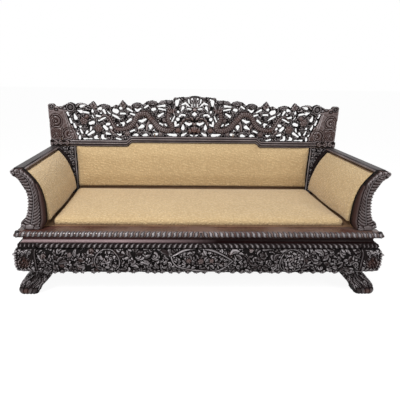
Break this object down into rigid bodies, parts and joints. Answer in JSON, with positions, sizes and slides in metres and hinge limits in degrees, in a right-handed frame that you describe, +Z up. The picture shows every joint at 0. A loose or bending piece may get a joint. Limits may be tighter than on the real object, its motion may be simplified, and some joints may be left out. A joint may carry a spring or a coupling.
{
  "type": "luohan daybed",
  "caption": "Long carved wooden daybed with bulging legs on paw feet, scrolled arms, a pierced crest over an upholstered back, padded arms and a loose padded seat.",
  "frame": {"origin": "on the floor below the middle of the bed", "axes": "+X to the viewer's right along the bed, +Y from the front to the back, +Z up"},
  "size_m": [2.1262, 0.8262, 1.1066],
  "materials": {
    "carved_rosewood": "dark stained and waxed, rubbed reddish brown on the high parts",
    "polished_rosewood": "glossy dark red-brown polish",
    "plain_hardwood": "unfinished planed hardwood",
    "gold_fabric": "tan-gold cloth with a small embossed pattern",
    "jute_webbing": "woven jute"
  },
  "bodies": {
    "frame": {"apron_front": "carved_rosewood", "apron_left": "carved_rosewood", "apron_rear": "carved_rosewood", "apron_right": "carved_rosewood", "arm_bottom_rail_left": "polished_rosewood", "arm_bottom_rail_right": "polished_rosewood", "arm_cushion_left": "gold_fabric", "arm_cushion_right": "gold_fabric", "arm_facing_left": "carved_rosewood", "arm_facing_right": "carved_rosewood", "arm_liner_left": "plain_hardwood", "arm_liner_right": "plain_hardwood", "arm_outer_board_left": "polished_rosewood", "arm_outer_board_right": "polished_rosewood", "arm_stile_left": "carved_rosewood", "arm_stile_right": "carved_rosewood", "arm_top_rail_left": "polished_rosewood", "arm_top_rail_right": "polished_rosewood", "back_board_left": "plain_hardwood", "back_board_middle": "plain_hardwood", "back_board_right": "plain_hardwood", "back_bottom_rail": "plain_hardwood", "back_cushion": "gold_fabric", "back_muntin_left": "plain_hardwood", "back_muntin_right": "plain_hardwood", "back_post_left": "carved_rosewood", "back_post_right": "carved_rosewood", "back_top_rail": "carved_rosewood", "corner_braces": "plain_hardwood", "crest_end_left": "carved_rosewood", "crest_end_right": "carved_rosewood", "crest_panel": "carved_rosewood", "deck_board_1": "plain_hardwood", "deck_board_2": "plain_hardwood", "deck_board_3": "plain_hardwood", "deck_board_4": "plain_hardwood", "joint_dowels": "plain_hardwood", "leg_front_left": "carved_rosewood", "leg_front_right": "carved_rosewood", "leg_rear_left": "carved_rosewood", "leg_rear_right": "carved_rosewood", "mitre_keys": "plain_hardwood", "platform_rail_front": "polished_rosewood", "platform_rail_left": "polished_rosewood", "platform_rail_rear": "polished_rosewood", "platform_rail_right": "polished_rosewood", "seat_bearer_1": "plain_hardwood", "seat_bearer_2": "plain_hardwood", "seat_bearer_3": "plain_hardwood", "waist_front": "polished_rosewood", "waist_left": "polished_rosewood", "waist_rear": "polished_rosewood", "waist_right": "polished_rosewood"},
    "squab": {"seat_cushion": "gold_fabric", "squab_rail_front": "plain_hardwood", "squab_rail_left": "plain_hardwood", "squab_rail_rear": "plain_hardwood", "squab_rail_right": "plain_hardwood", "squab_webbing": "jute_webbing"}
  },
  "joints": [
    {"name": "squab_lift", "type": "slide", "parent": "frame", "child": "squab", "axis": [0, 0, 1], "range_m": [0, 0.25]}
  ]
}
